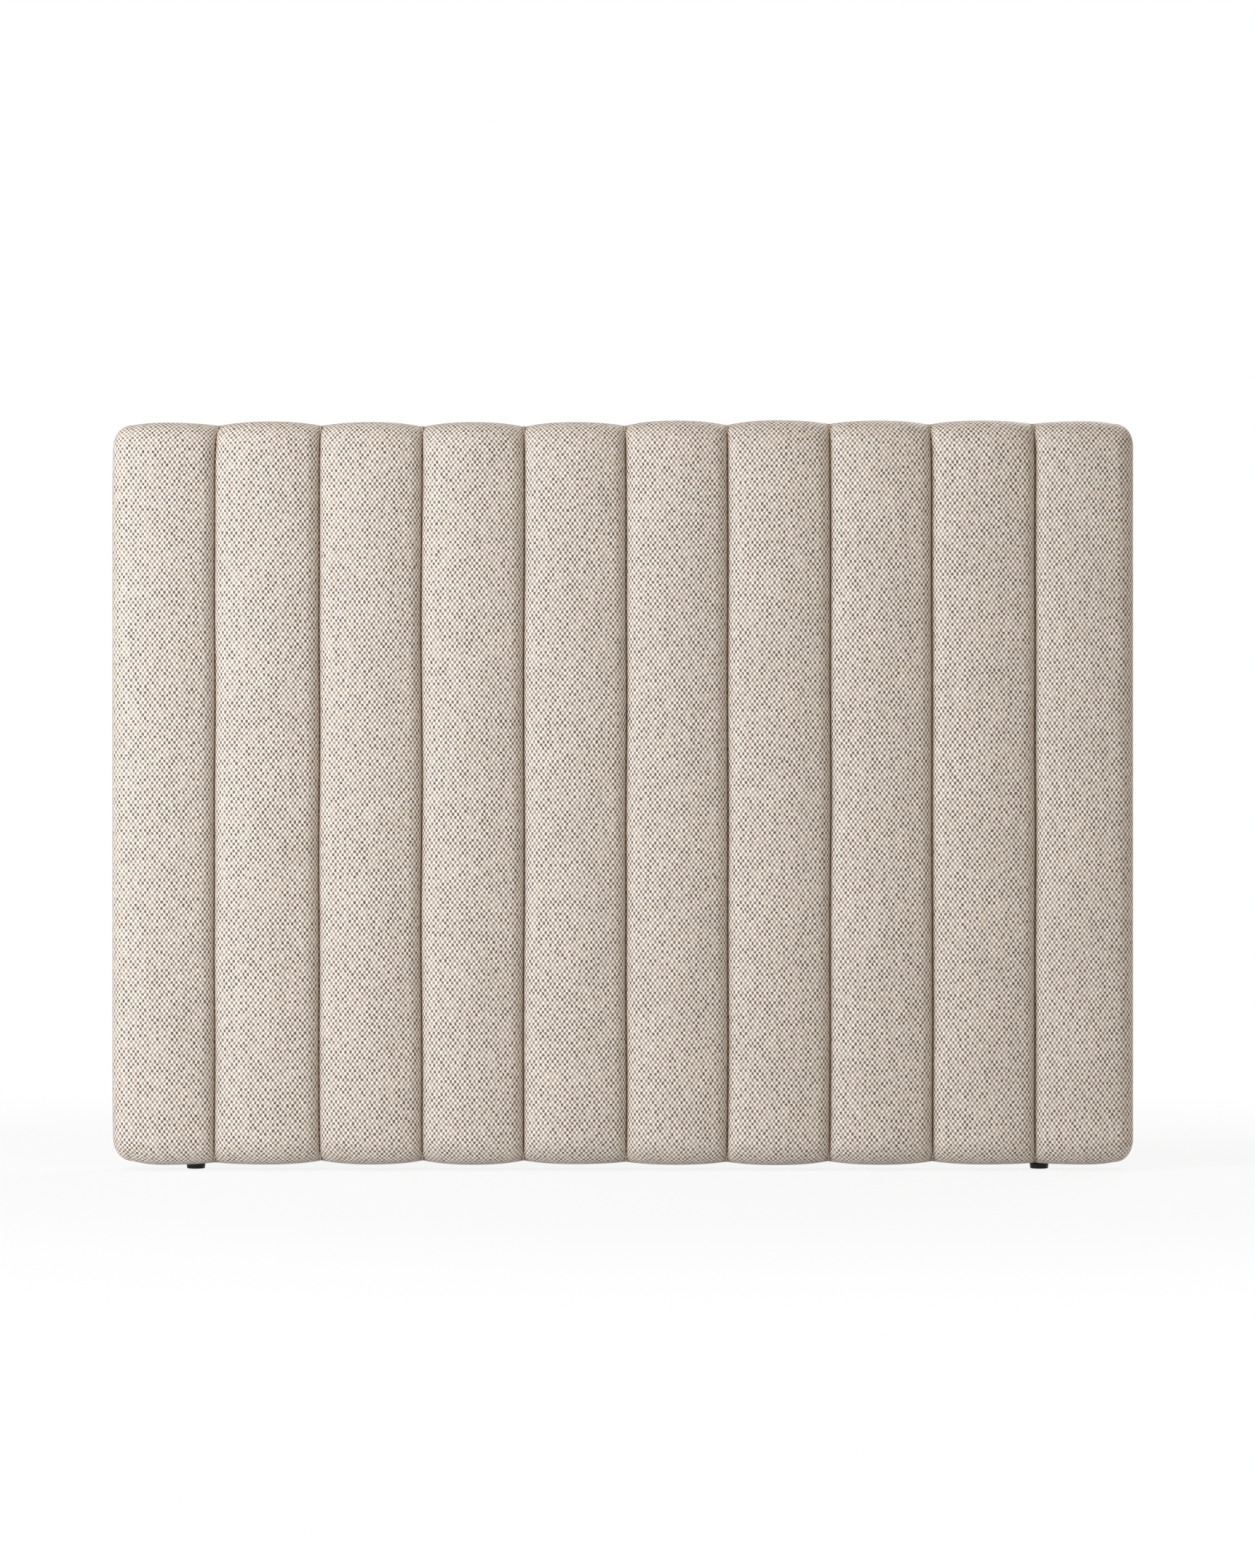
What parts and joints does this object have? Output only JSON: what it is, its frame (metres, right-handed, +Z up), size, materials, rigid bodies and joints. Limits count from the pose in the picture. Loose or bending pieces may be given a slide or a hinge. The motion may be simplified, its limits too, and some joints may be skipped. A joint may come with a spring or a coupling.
{
  "type": "upholstered headboard",
  "caption": "Floor-standing upholstered headboard with upright padded channels on a timber frame, low round levelling feet and threaded bed fixings in the back.",
  "frame": {"origin": "on the floor under the middle of the width and of the depth, with the feet screwed fully in", "axes": "+X to the right of someone facing the padded front, the front faces -Y, +Z up"},
  "size_m": [1.6, 0.11, 1.176],
  "materials": {
    "cover_fabric": "two-tone checked basket weave, cream yarn with small brown dots",
    "channel_foam": "open-cell upholstery foam, cream",
    "wadding": "polyester fibre wadding, white",
    "pull_strip": "unbleached calico tape",
    "back_cloth": "dark grey spunbond dust cloth",
    "frame_timber": "planed softwood, unfinished",
    "plywood": "thin plywood, unfinished",
    "screw_steel": "yellow-passivated steel",
    "staple_steel": "galvanised steel wire",
    "plated_steel": "zinc-plated steel",
    "foot_plastic": "black moulded plastic, fine satin texture"
  },
  "bodies": {
    "root": {"back_cloth": "back_cloth", "back_cloth_staples": "staple_steel", "bed_fixing_inserts": "plated_steel", "board_screws": "screw_steel", "bottom_left_corner_block": "plywood", "bottom_rail": "frame_timber", "bottom_right_corner_block": "plywood", "bottom_wadding": "wadding", "channel_pad_01": "channel_foam", "channel_pad_02": "channel_foam", "channel_pad_03": "channel_foam", "channel_pad_04": "channel_foam", "channel_pad_05": "channel_foam", "channel_pad_06": "channel_foam", "channel_pad_07": "channel_foam", "channel_pad_08": "channel_foam", "channel_pad_09": "channel_foam", "channel_pad_10": "channel_foam", "cover_panel_01": "cover_fabric", "cover_panel_02": "cover_fabric", "cover_panel_03": "cover_fabric", "cover_panel_04": "cover_fabric", "cover_panel_05": "cover_fabric", "cover_panel_06": "cover_fabric", "cover_panel_07": "cover_fabric", "cover_panel_08": "cover_fabric", "cover_panel_09": "cover_fabric", "cover_panel_10": "cover_fabric", "cover_staples": "staple_steel", "frame_screws": "screw_steel", "front_board": "plywood", "inner_stile_left": "frame_timber", "inner_stile_middle": "frame_timber", "inner_stile_right": "frame_timber", "left_foot_tee_nut": "plated_steel", "left_stile": "frame_timber", "left_wadding": "wadding", "pull_strip_01": "pull_strip", "pull_strip_02": "pull_strip", "pull_strip_03": "pull_strip", "pull_strip_04": "pull_strip", "pull_strip_05": "pull_strip", "pull_strip_06": "pull_strip", "pull_strip_07": "pull_strip", "pull_strip_08": "pull_strip", "pull_strip_09": "pull_strip", "right_foot_tee_nut": "plated_steel", "right_stile": "frame_timber", "right_wadding": "wadding", "strip_staples": "staple_steel", "top_left_corner_block": "plywood", "top_rail": "frame_timber", "top_right_corner_block": "plywood", "top_wadding": "wadding"},
    "left_foot": {"left_foot_pad": "foot_plastic"},
    "left_stem": {"left_foot_stem": "plated_steel"},
    "right_foot": {"right_foot_pad": "foot_plastic"},
    "right_stem": {"right_foot_stem": "plated_steel"}
  },
  "joints": [
    {"name": "left_foot_slide", "type": "slide", "parent": "root", "child": "left_foot", "axis": [0, 0, -1], "range_m": [0, 0.01]},
    {"name": "left_stem_turn", "type": "hinge", "parent": "left_foot", "child": "left_stem", "pos_m": [-0.672, 0.0287, 0.03], "axis": [0, 0, -1], "range_deg": [0, 2880]},
    {"name": "right_foot_slide", "type": "slide", "parent": "root", "child": "right_foot", "axis": [0, 0, -1], "range_m": [0, 0.01]},
    {"name": "right_stem_turn", "type": "hinge", "parent": "right_foot", "child": "right_stem", "pos_m": [0.656, 0.0287, 0.03], "axis": [0, 0, -1], "range_deg": [0, 2880]}
  ],
  "couplings": [
    {"joint": "left_stem_turn", "follows": "left_foot_slide", "rad_per_m": 5026.5},
    {"joint": "right_stem_turn", "follows": "right_foot_slide", "rad_per_m": 5026.5}
  ]
}
